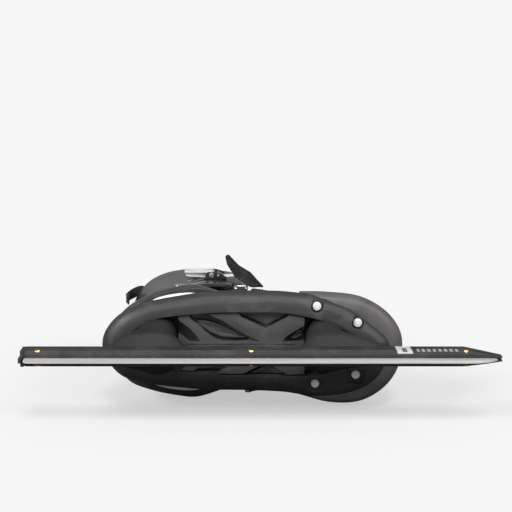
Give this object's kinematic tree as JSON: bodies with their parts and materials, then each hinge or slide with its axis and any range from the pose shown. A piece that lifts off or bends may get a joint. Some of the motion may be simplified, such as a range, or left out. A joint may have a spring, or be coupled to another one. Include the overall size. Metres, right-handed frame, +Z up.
{
  "type": "speed skate",
  "caption": "Fixed-blade speed skate with a tubed steel runner, ribbed chassis, soft boot, hinged cuff and straps.",
  "frame": {"origin": "centre of the bounding box at floor level, with the skate lying on its inner side", "axes": "+X along the blade towards the toe, +Y from the running edge into the boot, +Z up, towards the outer side of the foot"},
  "size_m": [0.4002, 0.214, 0.1275],
  "materials": {
    "runner": "ground bright along the sides",
    "anodised": "dark anodised, satin",
    "brass": "plain, slightly dull",
    "nylon": "dark grey moulded, satin",
    "gloss": "dark grey moulded, glossy",
    "shell": "dark grey coated upper",
    "bumper": "grey, matte",
    "webbing": "black webbing",
    "lining": "black padded lining",
    "felt": "grey felt",
    "board": "pressed fibre board",
    "bright": "bright, smooth",
    "steel": "zinc plated",
    "buckle": "black moulded",
    "clear": "milky white, translucent look"
  },
  "bodies": {
    "skate": {"runner": "runner", "blade_tube": "anodised", "tail_cap": "nylon", "pin_rear": "brass", "pin_middle": "brass", "pin_front": "brass", "heel_cup": "nylon", "toe_cup": "nylon", "heel_bolt": "steel", "toe_bolt": "steel", "heel_washer": "steel", "toe_washer": "steel", "heel_nut": "steel", "toe_nut": "steel", "chassis": "nylon", "trim_lateral": "bright", "trim_medial": "bright", "rib_lattice": "nylon", "rivet_lateral_rear": "bright", "rivet_lateral_front": "bright", "rivet_medial_rear": "bright", "rivet_medial_front": "bright", "boot_upper": "shell", "insole_board": "board", "footbed": "felt", "tongue": "lining", "toe_cap": "bumper", "heel_counter": "gloss", "power_strap": "webbing", "strap_rivet": "bright", "ring_keeper": "webbing"},
    "cuff": {"cuff": "gloss", "collar": "lining", "cuff_rivet_lateral": "bright", "cuff_rivet_medial": "bright", "buckle_base": "buckle", "buckle_rivet": "bright", "lever_pin": "bright", "pawl_pin": "bright", "pawl_spring": "steel", "ladder_strap": "clear", "ladder_rivet": "bright", "pull_loop": "webbing"},
    "lever": {"lever": "clear"},
    "pawl": {"pawl": "bright"},
    "tab": {"strap_tab": "webbing"},
    "ring": {"strap_ring": "bright"}
  },
  "joints": [
    {"name": "cuff_flex", "type": "hinge", "parent": "skate", "child": "cuff", "pos_m": [-0.0719, 0.011, 0.05973], "axis": [0, 0, -1], "range_deg": [-3, 6]},
    {"name": "lever_lift", "type": "hinge", "parent": "cuff", "child": "lever", "pos_m": [-0.0449, 0.051, 0.1006], "axis": [0, 1, 0], "range_deg": [0, 95]},
    {"name": "pawl_tip", "type": "hinge", "parent": "cuff", "child": "pawl", "pos_m": [-0.0389, 0.051, 0.1005], "axis": [0, -1, 0], "range_deg": [0, 15], "stiffness_Nm_per_rad": 0.01},
    {"name": "tab_fold", "type": "hinge", "parent": "skate", "child": "tab", "pos_m": [-0.0019, 0.007, 0.09773], "axis": [-1, 0, 0], "range_deg": [-25, 40]},
    {"name": "ring_swing", "type": "hinge", "parent": "skate", "child": "ring", "pos_m": [-0.0174, -0.006, 0.09923], "axis": [1, 0, 0], "range_deg": [0, 55]}
  ]
}
